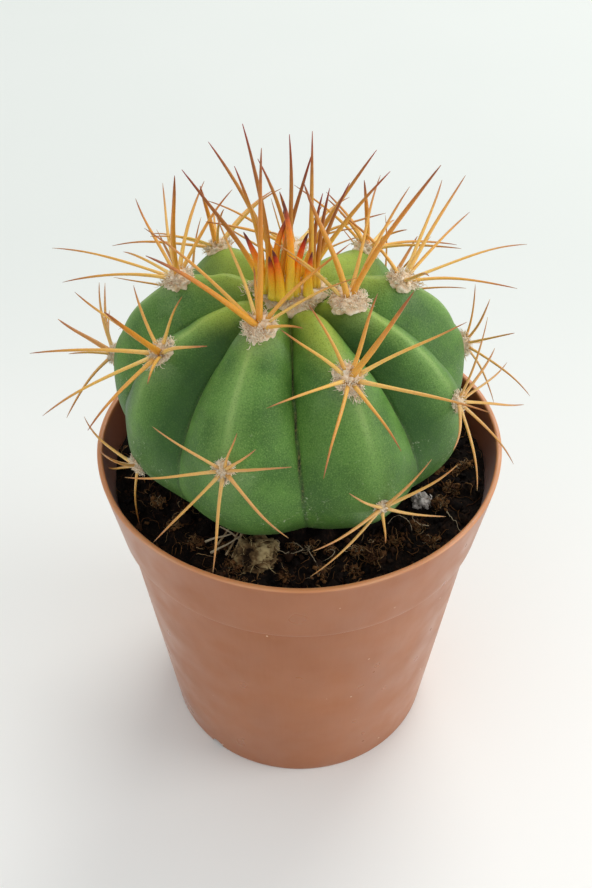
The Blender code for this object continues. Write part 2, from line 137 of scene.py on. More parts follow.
AREOLES = {
    "areole_1_upper": (1, 43, ((291, 70, 10), (0, 62, 8), (62, 66, 13.5), (76, 25, 18), (260, 67, 15),
                               (223, 65, 17), (187, 67, 16), (155, 66, 13.5), (105, 55, 10))),
    "areole_1_lower": (1, -12, ((281, 78, 12), (252, 73, 12), (240, 71, 12), (176, 60, 9.5), (30, 72, 9))),
    "areole_2_upper": (2, 69, ((336, 70, 8), (351, 31, 21), (288, 65, 18), (237, 33, 19), (320, 67, 15.5),
                               (35, 68, 14.5), (57, 67, 13), (102, 58, 7.5))),
    "areole_2_lower": (2, 17, ((24, 59, 8.5), (45, 57, 9), (67, 64, 11.5), (117, 66, 11.5), (178, 68, 12),
                               (219, 68, 12), (264, 68, 11.5), (308, 66, 10))),
    "areole_3_upper": (3, 49, ((264, 67, 13), (221, 69, 15), (177, 66, 11.5), (131, 68, 16.5), (87, 67, 15),
                               (56, 26, 15), (38, 68, 10.5), (345, 66, 10), (316, 66, 10.5))),
    "areole_3_lower": (3, -1, ((325, 76, 9), (280, 72, 11.5), (263, 70, 12.5), (190, 60, 5), (118, 72, 9),
                               (62, 74, 10.5), (42, 77, 9))),
    "areole_4_upper": (4, 73, ((290, 22, 21), (78, 62, 18), (89, 69, 12), (94, 60, 17), (131, 33, 19.5),
                               (315, 42, 14), (335, 48, 10))),
    "areole_4_lower": (4, 17, ((20, 62, 12), (78, 70, 9), (100, 71, 10.5), (132, 70, 13), (173, 69, 12.5),
                               (250, 65, 13), (285, 69, 13.5))),
    "areole_5_upper": (5, 56, ((113, 59, 17.5), (122, 48, 17.5), (134, 62, 16), (168, 61, 18),
                               (195, 67, 14.5), (290, 56, 13), (20, 66, 12))),
    "areole_5_lower": (5, 8, ((314, 70, 12.5), (139, 63, 12), (270, 67, 13), (350, 66, 9), (20, 68, 8.5),
                              (190, 70, 12))),
    "areole_6_upper": (6, 46, ANY_UPPER),
    "areole_6_lower": (6, 6, ANY_LOWER),
    "areole_7_upper": (7, 62, ANY_UPPER),
    "areole_7_lower": (7, 14, ANY_LOWER),
    "areole_8_upper": (8, 46, ANY_UPPER),
    "areole_8_lower": (8, 6, ANY_LOWER),
    "areole_9_upper": (9, 56, ((190, 62, 18), (172, 68, 15), (214, 71, 11), (241, 63, 16), (20, 32, 17),
                               (258, 62, 16), (282, 66, 15), (308, 67, 13.5))),
    "areole_9_lower": (9, 6, ((300, 66, 11), (265, 68, 12), (235, 66, 12.5), (320, 64, 10), (60, 66, 10),
                              (120, 68, 11), (0, 25, 9))),
}
# The crown's spines: azimuth of the foot, its distance from the axis in mm, azimuth leaned to, lean, length.
CROWN_SPINES = (
    (210, 3.3, 165, 6, 21.8), (140, 1.0, 155, 30, 19.0), (280, 1.2, 100, 3, 20.0), (350, 2.6, 90, 3, 20.0),
    (235, 2.0, 30, 14, 18.0), (0, 1.0, 155, 18, 16.5), (190, 3.4, 160, 11, 16.0), (35, 1.5, 30, 35, 18.0),
    (0, 1.5, 25, 42, 17.0), (350, 2.7, 35, 23, 13.5), (345, 3.0, 45, 6, 12.5), (350, 3.4, 60, 12, 12.5),
    (180, 3.4, 150, 41, 16.5),
)
CROWN_YOUNG = (
    (265, 2.5, 180, 2, 13.0), (205, 3.3, 180, 16, 8.5), (212, 2.2, 0, 10, 10.5), (290, 2.0, 0, 10, 8.5),
    (250, 3.2, 230, 10, 7.5), (235, 3.4, 250, 10, 6.5), (315, 3.2, 10, 4, 6.0), (100, 1.5, 100, 14, 9.0),
)
# Half width and half length of an areole's wool and its height, in mm: the usual ones and those that differ.
WOOL_SIZE = {"upper": (1.85, 2.3, 1.3), "lower": (1.3, 1.4, 0.95)}
WOOL_SPECIAL = {
    "areole_1_upper": (1.4, 2.2, 1.2),
    "areole_2_upper": (2.2, 2.4, 1.4),
    "areole_3_upper": (1.95, 2.3, 1.3),
    "areole_3_lower": (1.0, 1.0, 0.85),
    "areole_4_upper": (2.5, 2.5, 1.5),
    "areole_5_lower": (1.3, 1.9, 1.0),
}
WOOL_HAIRS = 330
CROWN_WOOL = (4.6 * MM, 4.9 * MM, 2.3 * MM)
CROWN_HAIRS = 900
HAIR_THICKNESS = 0.11 * MM
HAIR_TAPER = (1.0, 0.95, 0.85, 0.65, 0.3)
HAIR_BEND = 0.7

# Loose bits on the soil: centre (x, y), radius across and height.
PEAT_LUMP = (-5.7 * MM, -17.6 * MM, 2.7 * MM, 2.6 * MM)
PERLITE_GRAIN = (16.4 * MM, -7.2 * MM, 1.4 * MM, 1.7 * MM)
PEAT_LUMPINESS = 0.35
PERLITE_LUMPINESS = 0.25
CRUMB_COUNT = 1500
ROOTLET_COUNT = 420
# Fluffy clods of peat that the picture shows: centre (x, y) and size, in mm.
SOIL_CLUMPS = (
    (-1.2, -15.6, 0.9), (1.4, -15.8, 1.0), (3.8, -16.2, 0.9), (-9.6, -15.4, 0.8), (-8.4, -19.6, 1.2),
    (12.6, -14.6, 1.3), (15.6, -12.0, 1.2), (9.6, -18.0, 1.3), (18.8, -8.4, 1.1), (6.8, -20.2, 1.1),
    (17.0, -14.4, 1.0), (2.6, -20.4, 1.2), (-13.6, -15.2, 1.2), (-16.6, -12.4, 1.0), (-1.8, -20.8, 1.0),
    (7.4, -16.6, 1.0), (-18.8, -8.0, 1.1), (20.4, -4.6, 1.0),
)
LOOSE_CLUMPS = 32
CLUMP_CRUMBS = 22
CLUMP_FIBRES = 42
# Dry blades beside the lump: start (x, y), heading in degrees, length, all else in mm.
DRY_BLADES = ((-10.6, -16.0, 62, 4.6), (-9.4, -17.6, 66, 4.8), (-8.6, -17.9, 70, 4.6),
              (-8.0, -17.0, 80, 4.0), (-11.4, -17.4, 30, 4.2), (-7.4, -15.2, 150, 3.4),
              (-12.2, -15.4, 12, 3.6))
# Pale root hairs: start (x, y) in mm, heading in degrees, length in mm, bend at each step in radians.
ROOT_HAIRS = ((-1.6, -14.6, 20, 6.5, -0.16), (-2.6, -15.4, 200, 4.5, 0.14), (0.6, -15.2, 300, 5.0, 0.06),
              (3.2, -16.6, 10, 4.2, -0.2), (-4.0, -15.6, 60, 3.6, -0.28), (14.6, -13.0, 70, 5.0, 0.1),
              (19.6, -9.4, 250, 4.6, 0.1), (17.0, -12.0, 200, 4.0, -0.12))

CRUMB_STOPS = ((0.1, (14, 10, 9)), (0.35, (34, 23, 17)), (0.6, (74, 49, 32)), (0.85, (122, 86, 52)),
               (1.0, (160, 122, 74)))
FIBRE_STOPS = ((0.1, (30, 19, 14)), (0.35, (76, 48, 30)), (0.6, (132, 92, 54)), (0.85, (176, 142, 98)),
               (1.0, (206, 188, 156)))
PEAT_STOPS = ((0.35, (46, 32, 20)), (0.62, (126, 100, 66)), (1.0, (204, 182, 132)))
PERLITE_STOPS = ((0.2, (150, 140, 130)), (0.8, (222, 214, 206)))

# Seeds of the random draws
SEEDS = {"areoles": 400, "crown": 77, "crumbs": 12, "clumps": 47, "fibres": 31}

# Camera: where it stands, how far it looks down from level and turns to the left in degrees, and its lens
CAMERA_PLACE = (0, -0.1157, 0.1569)
CAMERA_TILT = 42.85
CAMERA_TURN = 0.27
CAMERA_LENS = 46.62
CAMERA_SENSOR = 36


# Mesh tools

class Soup:
    """Collects points, faces and per-point values of many small shapes, to make one object of them."""

    def __init__(self):
        self.points = []
        self.faces = []
        self.values = {}
        self.count = 0

    def add(self, points, faces, **values):
        points = np.asarray(points, float).reshape(-1, 3)
        self.points.append(points)
        self.faces += [tuple(int(i) + self.count for i in face) for face in faces]
        for name, value in values.items():
            self.values.setdefault(name, []).append(np.broadcast_to(np.asarray(value, float), len(points)))
        self.count += len(points)

    def add_rings(self, rings, **values):
        """Adds a skin over rings of points, closed by fans to the middles of the first and last rings."""
        rings = np.asarray(rings)
        points = np.concatenate((rings.reshape(-1, 3), (rings[0].mean(axis=0), rings[-1].mean(axis=0))))
        for name, value in values.items():
            values[name] = np.concatenate((value.reshape(-1), (value[0].mean(), value[-1].mean())))
        self.add(points, lattice_faces(*rings.shape[:2]), **values)

    def build(self, name, material, node):
        """Makes the piece, which stands for a node of the frame, or for part of it, in this slot."""
        mesh = bpy.data.meshes.new(name)
        mesh.from_pydata(np.concatenate(self.points).tolist(), [], self.faces)
        for key, parts in self.values.items():
            layer = mesh.attributes.new(key, "FLOAT", "POINT")
            layer.data.foreach_set("value", np.concatenate(parts).astype(np.float32))
        mesh.materials.append(material)
        mesh.shade_smooth()
        made = bpy.data.objects.new(name, mesh)
        bpy.context.scene.collection.objects.link(made)
        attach(made, "root")
        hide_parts(node)
        return made


def lattice_faces(rows, columns):
    """Quads over rows of points that close on themselves, and fans to the two points that follow them."""
    low = np.arange(columns)
    high = (low + 1) % columns
    first, last = rows * columns, (rows - 1) * columns
    faces = list(zip(high, low, np.full(columns, first)))
    for at in range(0, last, columns):
        faces += zip(at + low, at + high, at + columns + high, at + columns + low)
    faces += zip(last + low, last + high, np.full(columns, first + 1))
    return faces


def tube(path, radii, sides, squeeze=1.0):
    """(points, faces, share of the length) of a closed tube along path, whose one width is squeezed."""
    path = np.asarray(path, float)
    radii = np.asarray(radii, float)
    along = np.gradient(path, axis=0)
    along /= np.linalg.norm(along, axis=1)[:, None]
    start = np.array((0, 0, 1.0)) if abs(along[0][2]) < 0.8 else np.array((1.0, 0, 0))
    side = np.cross(along, start)
    side /= np.linalg.norm(side, axis=1)[:, None]
    other = np.cross(along, side)
    turn = np.linspace(0, math.tau, sides, endpoint=False)
    ring = side[:, None] * np.cos(turn)[:, None] + other[:, None] * (squeeze * np.sin(turn))[:, None]
    points = (path[:, None] + ring * radii[:, None, None]).reshape(-1, 3)
    points = np.concatenate((points, path[:1], path[-1:]))
    share = np.concatenate((np.repeat(np.linspace(0, 1, len(path)), sides), (0.0, 1.0)))
    return points, lattice_faces(len(path), sides), share


def bezier(foot, control, tip, steps):
    """Points along a curve from foot to tip that bends towards control."""
    s = np.linspace(0, 1, steps)[:, None]
    foot, control, tip = (np.asarray(p, float) for p in (foot, control, tip))
    return foot * (1 - s) ** 2 + control * (2 * s * (1 - s)) + tip * s**2


def icosphere(subdivisions):
    """(points, faces) of a ball of radius 1."""
    bm = bmesh.new()
    bmesh.ops.create_icosphere(bm, subdivisions=subdivisions, radius=1)
    points = np.array([v.co for v in bm.verts])
    faces = [tuple(v.index for v in f.verts) for f in bm.faces]
    bm.free()
    return points, faces


def unit(rng):
    """A random direction."""
    v = rng.normal(size=3)
    return v / np.linalg.norm(v)


# Material tools

class Paint:
    """A Principled material and short calls that add nodes to it."""

    def __init__(self, name, roughness, sockets=()):
        self.material = bpy.data.materials.new(name)
        self.material.use_nodes = True
        self.tree = self.material.node_tree
        self.shader = self.tree.nodes["Principled BSDF"]
        self.set("Roughness", roughness)
        for socket, value in dict(sockets).items():
            self.set(socket, value)
        self.place = self.tree.nodes.new("ShaderNodeTexCoord").outputs["Object"]

    def set(self, socket, value):
        target = self.shader.inputs[socket]
        if isinstance(value, bpy.types.NodeSocket):
            self.tree.links.new(value, target)
        else:
            target.default_value = value

    def node(self, kind, settings=(), **inputs):
        made = self.tree.nodes.new(kind)
        for key, value in dict(settings).items():
            setattr(made, key, value)
        for key, value in inputs.items():
            socket = made.inputs[int(key[1:])] if key[0] == "_" else made.inputs[key]
            if isinstance(value, bpy.types.NodeSocket):
                self.tree.links.new(value, socket)
            else:
                socket.default_value = value
        return made

    def value(self, name):
        """The per-point value of that name."""
        return self.node("ShaderNodeAttribute", {"attribute_name": name}).outputs["Fac"]

    def stretched(self, x, y, z):
        """The place with each of its coordinates scaled."""
        return self.node("ShaderNodeMapping", Vector=self.place, Scale=(x, y, z)).outputs[0]

    def noise(self, size_mm, detail=3, rough=0.55, where=None):
        """Noise from 0 to 1 with features of this size."""
        made = self.node("ShaderNodeTexNoise", Vector=where or self.place, Scale=1 / (size_mm * MM),
                         Detail=detail, Roughness=rough)
        return made.outputs[0]

    def cells(self, size_mm):
        """How far each place is from the middle of its cell, in cells of this size."""
        made = self.node("ShaderNodeTexVoronoi", Vector=self.place, Scale=1 / (size_mm * MM))
        return made.outputs["Distance"]

    def coordinate(self, axis):
        """The place along one axis, in metres."""
        return self.node("ShaderNodeSeparateXYZ", Vector=self.place).outputs[axis]

    def math(self, operation, a, b):
        return self.node("ShaderNodeMath", {"operation": operation}, _0=a, _1=b).outputs[0]

    def plus(self, a, b):
        return self.math("ADD", a, b)

    def times(self, a, b):
        return self.math("MULTIPLY", a, b)

    def between(self, value, low, high):
        """0 where value is at low or beyond, 1 at high or beyond, smooth between. Low may be the larger."""
        made = self.node("ShaderNodeMapRange", {"interpolation_type": "SMOOTHSTEP"}, Value=value)
        made.inputs["From Min"].default_value = low
        made.inputs["From Max"].default_value = high
        return made.outputs[0]

    def ramp(self, value, *stops):
        """A colour ramp through (place, colour) stops."""
        made = self.node("ShaderNodeValToRGB", Fac=value)
        elements = made.color_ramp.elements
        while len(elements) < len(stops):
            elements.new(0.5)
        for element, (place, colour) in zip(elements, stops):
            element.position = place
            element.color = (*linear(colour), 1)
        return made.outputs[0]

    def mix(self, amount, a, b):
        """Colour a, turning to b by amount. Either is a socket or a colour as it looks on screen."""
        made = self.node("ShaderNodeMix", {"data_type": "RGBA"})
        for key, value in ((0, amount), (6, a), (7, b)):
            if isinstance(value, bpy.types.NodeSocket):
                self.tree.links.new(value, made.inputs[key])
            else:
                made.inputs[key].default_value = (*linear(value), 1) if isinstance(value, tuple) else value
        return made.outputs[2]

    def tint(self, colour, amount, strength, other):
        """The colour, turning to the other one by amount times strength."""
        return self.mix(self.times(amount, strength), colour, other)

    def bump(self, *layers):
        """Adds bumps, each (height, depth in mm)."""
        normal = None
        for height, depth_mm in layers:
            made = self.node("ShaderNodeBump", Height=height, Strength=1.0, Distance=depth_mm * MM)
            if normal:
                self.tree.links.new(normal, made.inputs["Normal"])
            normal = made.outputs[0]
        self.set("Normal", normal)


def linear(colour):
    """A colour from 0 to 255, as it looks on screen, turned into the shader's shares of light."""
    shares = np.asarray(colour, float) / 255
    return tuple(np.where(shares <= 0.04045, shares / 12.92, ((shares + 0.055) / 1.055) ** 2.4))


# Pot

def inner_wall(z):
    """The pot's inner radius at height z."""
    collar_z = POT_HEIGHT - POT_COLLAR_HEIGHT
    heights = (0, collar_z - POT_WALL, collar_z + POT_WALL, POT_HEIGHT)
    radii = (POT_BASE_RADIUS, POT_SHOULDER_RADIUS, POT_COLLAR_RADIUS, POT_RIM_RADIUS)
    return float(np.interp(z, heights, radii)) - POT_WALL


def pot_material():
    """Matt terracotta plastic with faint streaks and specks, with painted shade darkening it inside and a
    painted highlight making it paler along the rim.
    """
    paint = Paint("pot_plastic", 0.5, {"Specular IOR Level": 0.5, "Sheen Weight": 0.15,
                                       "Sheen Roughness": 0.35, "Subsurface Weight": 0.25,
                                       "Subsurface Scale": 1.2 * MM, "Subsurface Radius": (1.0, 0.4, 0.2)})
    cloud = paint.noise(14, 3)
    colour = paint.ramp(cloud, (0.3, (158, 90, 43)), (0.7, (170, 100, 51)))
    streak = paint.noise(0.6, 2, where=paint.stretched(1, 1, 0.08))
    colour = paint.tint(colour, streak, 0.10, (206, 146, 108))
    speck = paint.between(paint.cells(2.6), 0.075, 0.045)
    few = paint.between(paint.noise(5, 1), 0.54, 0.64)
    colour = paint.mix(paint.times(speck, few), colour, (226, 198, 170))
    # Painted shade: the inner wall below the rim is darker than the same plastic outside.
    colour = paint.mix(paint.value("inside"), colour, paint.mix(cloud, (138, 74, 42), (160, 86, 50)))
    # Painted highlight: the top of the rim turns paler orange.
    lip = paint.between(paint.coordinate("Z"), POT_HEIGHT - 0.45 * MM, POT_HEIGHT - 0.1 * MM)
    colour = paint.tint(colour, lip, 0.6, (226, 158, 104))
    colour = paint.tint(colour, paint.value("burr"), 0.75, (226, 176, 138))
    paint.set("Base Color", colour)
    paint.set("Roughness", paint.between(paint.noise(6, 2), -0.6, 2.0))
    paint.bump((paint.noise(9, 2), 0.02))
    return paint.material


def cut(target, cutters):
    """Cuts closed helper meshes out of target for good, and removes the helpers."""
    for cutter in cutters:
        modifier = target.modifiers.new(cutter.name, "BOOLEAN")
        modifier.operation = "DIFFERENCE"
        modifier.solver = "EXACT"
        modifier.object = cutter
    bpy.context.view_layer.update()
    graph = bpy.context.evaluated_depsgraph_get()
    mesh = bpy.data.meshes.new_from_object(target.evaluated_get(graph))
    target.modifiers.clear()
    target.data = mesh
    for cutter in cutters:
        bpy.data.objects.remove(cutter)


def rod(name, start, end, radius):
    """A closed straight rod, to cut with."""
    points, faces, _ = tube([start, end], [radius, radius], ROD_SIDES)
    mesh = bpy.data.meshes.new(name)
    mesh.from_pydata(points.tolist(), [], [tuple(map(int, face)) for face in faces])
    made = bpy.data.objects.new(name, mesh)
    bpy.context.scene.collection.objects.link(made)
    bm = bmesh.new()
    bm.from_mesh(mesh)
    bmesh.ops.recalc_face_normals(bm, faces=bm.faces)
    bm.to_mesh(mesh)
    bm.free()
    return made


def rounded(corners, radius):
    """The (radius, height) outline with each corner rounded by a short arc."""
    corners = [np.asarray(corner, float) for corner in corners]
    line = [corners[0]]
    for before, here, after in zip(corners, corners[1:], corners[2:]):
        reach = min(radius, np.linalg.norm(before - here) / 2.1, np.linalg.norm(after - here) / 2.1)
        start = here + (before - here) / np.linalg.norm(before - here) * reach
        end = here + (after - here) / np.linalg.norm(after - here) * reach
        line += list(bezier(start, here, end, CORNER_STEPS))
    line.append(corners[-1])
    return line


def fill_in(line, longest):
    """Adds points so that no step of the outline is longer than this."""
    full = [line[0]]
    for a, b in zip(line, line[1:]):
        parts = max(1, math.ceil(np.linalg.norm(b - a) / longest))
        full += [a + (b - a) * (i / parts) for i in range(1, parts + 1)]
    return full


def make_pot():
    collar_z = POT_HEIGHT - POT_COLLAR_HEIGHT
    outside = [
        (0, POT_FOOT_HEIGHT),
        (POT_BASE_RADIUS - POT_FOOT_WIDTH - 0.1 * MM, POT_FOOT_HEIGHT),
        (POT_BASE_RADIUS - POT_FOOT_WIDTH + 0.1 * MM, 0),
        (POT_BASE_RADIUS, 0),
        (POT_SHOULDER_RADIUS, collar_z - POT_EDGE),
        (POT_COLLAR_RADIUS, collar_z + 0.1 * MM),
        (POT_RIM_RADIUS, POT_HEIGHT),
        (POT_RIM_RADIUS - POT_WALL, POT_HEIGHT),
        (inner_wall(collar_z + POT_WALL), collar_z + POT_WALL),
        (inner_wall(collar_z - POT_WALL), collar_z - POT_WALL),
        (POT_BASE_RADIUS - POT_WALL, POT_FLOOR),
        (0, POT_FLOOR),
    ]
    line = fill_in(rounded(outside, POT_EDGE), POT_STEP)[1:-1]
    turn = np.linspace(-math.pi, math.pi, POT_SEGMENTS, endpoint=False)
    r, z = np.array(line).T[:, :, None]
    rise = np.clip(z / POT_HEIGHT, 0, 1)
    wave = np.sin(2 * turn + 0.9) + 0.6 * np.sin(3 * turn - 0.7) + 0.35 * np.sin(7 * turn)
    radius = r + (r > 0.6 * POT_BASE_RADIUS) * POT_WAVE * rise**3 * wave - 0.1 * MM * rise
    sag = -POT_SAG * rise**4 * (1 + np.sin(5 * turn + 0.4) * 0.5 + np.sin(11 * turn) * 0.3)
    rings = np.stack((radius * np.cos(turn), radius * np.sin(turn), np.maximum(z + sag, 0)), axis=-1)
    burr = np.exp(-((np.hypot(r - POT_RIM_RADIUS, z - POT_HEIGHT) / (0.22 * MM)) ** 2))
    burr = burr * (0.5 + 0.5 * np.sin(9 * turn) * np.sin(4 * turn + 1))
    past_rim = np.arange(len(line))[:, None] > np.argmax(z + 1e-6 * r) + 3
    inside = np.broadcast_to(past_rim & (z < POT_HEIGHT - 0.6 * MM), burr.shape).astype(float)
    soup = Soup()
    soup.add_rings(rings, inside=inside, burr=burr)
    pot = soup.build("pot_shell", pot_material(), "pot")
    cutters = []
    for number in range(DRAIN_COUNT):
        angle = math.tau * (number + 0.5) / DRAIN_COUNT
        x, y = DRAIN_CIRCLE * math.cos(angle), DRAIN_CIRCLE * math.sin(angle)
        cutters.append(rod(f"drain_{number}", (x, y, -2 * MM), (x, y, 3 * MM), DRAIN_RADIUS))
    for number, degrees in enumerate(NOTCH_AZIMUTHS):
        out = np.array((math.cos(math.radians(degrees)), math.sin(math.radians(degrees)), 0))
        ends = (out * (POT_BASE_RADIUS - 3 * POT_WALL), out * (POT_BASE_RADIUS + 2 * POT_WALL))
        cutters.append(rod(f"notch_{number}", *ends, NOTCH_RADIUS))
    cut(pot, cutters)
    pot.data.shade_smooth()
    pot.data.set_sharp_from_angle(angle=math.radians(40))


# Stem

def signed_power(value, power):
    return np.sign(value) * np.abs(value) ** power


def profile(tilt, radius, rise, power):
    """(distance from the stem's axis, height over its centre) at a tilt: 0 at the widest, 90 on top."""
    above = np.sin(tilt) > 0
    across = np.abs(np.cos(tilt)) ** (2 / np.where(above, power, DROP_POWER))
    height = signed_power(np.sin(tilt), 2 / np.where(above, power, DROP_POWER))
    return radius * across, height * np.where(above, rise, STEM_DROP)


def rib_phase(azimuth):
    """(phase, size, fullness, rib) at each azimuth.

    The phase is the place across the rib: -1 and 1 in its grooves, 0 on its crest. Ribs count from 0 here.
    """
    crests = np.radians([angle for angle, *_ in RIBS.values()])
    _, sizes, before_full, after_full = np.array(list(RIBS.values())).T
    ring = np.concatenate(([crests[-1] - math.tau], crests, [crests[0] + math.tau]))
    grooves = (ring[1:] + ring[:-1]) / 2
    turned = (azimuth - grooves[0]) % math.tau + grooves[0]
    rib = np.clip(np.searchsorted(grooves, turned, side="right") - 1, 0, len(crests) - 1)
    after = (turned - crests[rib]) / (grooves[rib + 1] - crests[rib])
    before = (turned - crests[rib]) / (crests[rib] - grooves[rib])
    later = turned > crests[rib]
    full = np.where(later, after_full[rib], before_full[rib])
    return np.where(later, after, before), sizes[rib], full, rib


def rib_lean(tilt):
    """How far a rib's crest has turned about the axis at this tilt, because the ribs run a little askew."""
    return math.radians(RIB_LEAN) * (0.65 - np.sin(tilt))


def stem_point(azimuth, tilt):
    """The stem's surface, as an array of (x, y, z)."""
    azimuth, tilt = np.broadcast_arrays(np.asarray(azimuth, float), np.asarray(tilt, float))
    phase, size, full, _ = rib_phase(azimuth - rib_lean(tilt))
    fade_start, fade_end = (math.radians(t) for t in GROOVE_FADE)
    low = np.clip((tilt - fade_start) / (fade_end - fade_start), 0, 1)
    low = low * low * (3 - 2 * low)
    rounding = CREST_ROUNDING_TOP + (CREST_ROUNDING_LOW - CREST_ROUNDING_TOP) * low
    groove = (np.sqrt(phase**2 + rounding**2) - rounding) / (np.sqrt(1 + rounding**2) - rounding)
    groove = groove ** (full + (1 - full) * low)
    crest_r, crest_z = profile(tilt, CREST_RADIUS, CREST_RISE, CREST_POWER)
    groove_radius = GROOVE_RADIUS + (GROOVE_LOW_RADIUS - GROOVE_RADIUS) * low
    groove_r, groove_z = profile(tilt, groove_radius, GROOVE_RISE, GROOVE_POWER)
    near_axis = np.clip(1 - (crest_r / CROWN_RADIUS) ** 2, 0, 1) ** 2 * (np.sin(tilt) > 0)
    crest_z = crest_z - (CREST_RISE - GROOVE_RISE) * near_axis
    size = 1 + (size - 1) * np.clip(crest_r / CROWN_RADIUS, 0, 1)
    r = crest_r * size * (1 - groove) + groove_r * groove
    z = crest_z * size * (1 - groove) + groove_z * groove
    x = STEM_AXIS[0] + r * np.cos(azimuth)
    y = STEM_AXIS[1] + r * np.sin(azimuth)
    return np.stack([x, y, STEM_CENTRE_Z + z], axis=-1)


def stem_underside(azimuth, radius):
    """The height of the stem's underside at this distance from its axis, or a large height outside it."""
    tilts = np.radians(np.linspace(-88, 0, 45))
    points = stem_point(azimuth, tilts)
    reach = np.hypot(points[:, 0] - STEM_AXIS[0], points[:, 1] - STEM_AXIS[1])
    if radius > reach.max():
        return POT_HEIGHT
    return float(np.interp(radius, reach, points[:, 2]))


def areole_frame(rib, tilt_degrees):
    """(foot on the crest, outward normal, direction towards the crown) of an areole."""
    tilt = math.radians(tilt_degrees)
    azimuth = math.radians(RIBS[rib][0])
    here, before, after = (
        Vector(stem_point(azimuth + rib_lean(t), t)) for t in (tilt, tilt - 0.01, tilt + 0.01)
    )
    ahead = (after - before).normalized()
    turned = azimuth + float(rib_lean(tilt))
    side = Vector((-math.sin(turned), math.cos(turned), 0))
    out = side.cross(ahead).normalized()
    if out.dot(Vector((math.cos(turned), math.sin(turned), 0.3))) < 0:
        out.negate()
    return here, out, ahead


def stem_material():
    """Stippled green skin: young growth by the crown, painted highlights pale on the crests and the tops,
    painted shade dark in the clefts, on the front ribs' flanks and underneath, with some scars.
    """
    paint = Paint("green_skin", 0.55, {"Subsurface Weight": 0.08, "Subsurface Scale": 1.2 * MM,
                                       "Subsurface Radius": (0.5, 1.0, 0.25), "Specular IOR Level": 0.35})
    crest, climb, flank = paint.value("crest"), paint.value("climb"), paint.value("flank")
    broad = paint.noise(5, 3)
    fine = paint.noise(0.17, 2, 0.6)
    colour = paint.mix(paint.between(broad, 0.3, 0.7), (66, 108, 36), (94, 138, 56))
    # Painted highlight: the crests turn paler, more so higher up.
    lifted = paint.times(paint.between(crest, 0.60, 1.0), paint.between(climb, -0.3, 0.8))
    colour = paint.mix(lifted, colour, (118, 158, 76))
    # Painted highlight: a paler line along the crests high up.
    edge = paint.times(paint.between(crest, 0.90, 0.99), paint.between(climb, 0.2, 0.7))
    colour = paint.tint(colour, edge, 0.40, (170, 196, 118))
    # Painted shade: darker green in the bottoms of the clefts.
    cleft = paint.between(crest, 0.05, 0.0)
    colour = paint.mix(cleft, colour, (50, 84, 28))
    # Painted shade on the front ribs' flatter flanks.
    colour = paint.tint(colour, flank, 0.88, (30, 74, 14))
    # Painted shade: darker towards the underside of the stem.
    underside_shade = paint.between(climb, 0.3, -0.6)
    colour = paint.tint(colour, underside_shade, 0.7, (46, 76, 34))
    # Paler yellow-green: young growth by the crown, and painted light on the crests high up, the third rib's
    # top and the back ribs' tops.
    young = paint.between(paint.plus(paint.value("fresh"), paint.times(broad, 0.25)), 0.25, 1.25)
    colour = paint.mix(young, colour, (156, 176, 62))
    lit = paint.math("SUBTRACT", 1.0, paint.times(flank, 0.8))
    grey = paint.between(paint.plus(paint.value("bloom"), paint.times(paint.noise(1.6, 4), 0.7)), 0.55, 1.35)
    colour = paint.mix(paint.times(paint.times(grey, 0.42), lit), colour, (138, 162, 122))
    stipple = paint.between(fine, 0.52, 0.68)
    colour = paint.mix(paint.times(paint.times(stipple, 0.24), lit), colour, (158, 188, 104))
    pit = paint.between(fine, 0.48, 0.34)
    colour = paint.tint(colour, pit, 0.34, (34, 66, 20))
    worn = paint.between(paint.noise(0.5, 5, 0.75), 0.57, 0.68)
    patchy = paint.between(paint.plus(paint.noise(3.0, 2), paint.times(climb, -0.30)), 0.50, 0.66)
    colour = paint.tint(colour, paint.times(worn, patchy), 0.75, (198, 206, 170))
    flecked = paint.between(paint.noise(0.4, 4, 0.8), 0.45, 0.62)
    colour = paint.mix(paint.value("cork"), colour, paint.mix(flecked, (38, 44, 18), (150, 138, 76)))
    paint.set("Base Color", colour)
    paint.set("Roughness", paint.between(paint.plus(paint.noise(2.5, 3), grey), -1.4, 2.2))
    paint.bump((fine, 0.04), (paint.noise(0.9, 3), 0.06), (paint.noise(4, 2), 0.2))
    return paint.material


